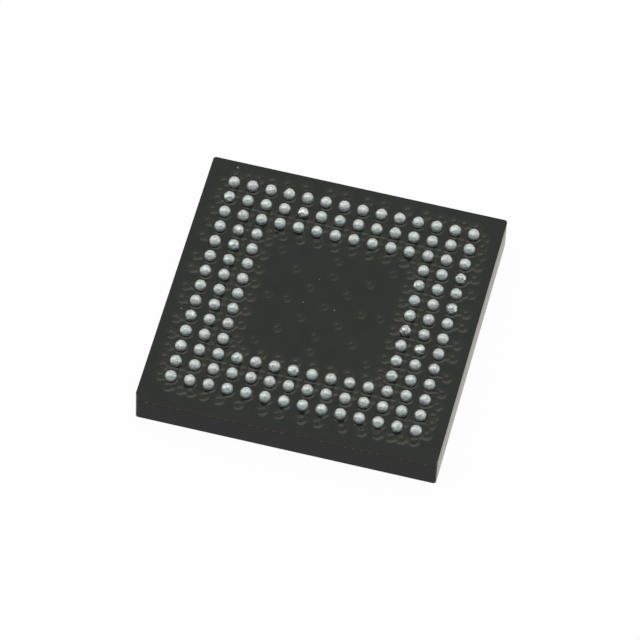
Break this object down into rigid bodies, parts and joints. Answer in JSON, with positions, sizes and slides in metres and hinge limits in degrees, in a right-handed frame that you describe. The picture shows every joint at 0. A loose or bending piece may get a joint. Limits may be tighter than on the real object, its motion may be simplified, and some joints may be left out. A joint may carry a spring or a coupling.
{
  "type": "ball grid array chip",
  "caption": "Square over-moulded chip package with rings of solder balls and an open centre on its ball side, shown ball side up.",
  "frame": {"origin": "centre of the flat moulded face that the package lies on", "axes": "+Z out of the ball side, +X along the ball rows, +Y towards row a"},
  "size_m": [0.008, 0.008, 0.0012],
  "materials": {
    "mould_compound": "fine matt black epoxy moulding",
    "solder_mask": "satin dark green-black coat",
    "laminate": "sawn dark glass-fibre laminate",
    "silicon": "smooth grey silicon",
    "adhesive": "cured filled epoxy",
    "copper": "etched copper",
    "gold": "drawn gold wire",
    "solder": "satin silver reflowed solder"
  },
  "bodies": {
    "root": {"mould_cap": "mould_compound", "ball_side_mask": "solder_mask", "laminate_core": "laminate", "die_side_mask": "solder_mask", "silicon_die": "silicon", "die_adhesive": "adhesive", "die_paddle": "copper", "signal_vias": "copper", "ground_vias": "copper", "ground_via_lands": "copper", "ball_lands_outer_ring": "copper", "ball_lands_middle_ring": "copper", "ball_lands_inner_ring": "copper", "bond_fingers_back": "copper", "bond_fingers_left": "copper", "bond_fingers_front": "copper", "bond_fingers_right": "copper", "bond_wires_back": "gold", "bond_wires_left": "gold", "bond_wires_front": "gold", "bond_wires_right": "gold", "ball_row_a": "solder", "ball_row_b": "solder", "ball_row_c": "solder", "ball_row_d": "solder", "ball_row_e": "solder", "ball_row_f": "solder", "ball_row_g": "solder", "ball_row_h": "solder", "ball_row_j": "solder", "ball_row_k": "solder", "ball_row_l": "solder", "ball_row_m": "solder", "ball_row_n": "solder", "ball_row_p": "solder"}
  },
  "joints": []
}
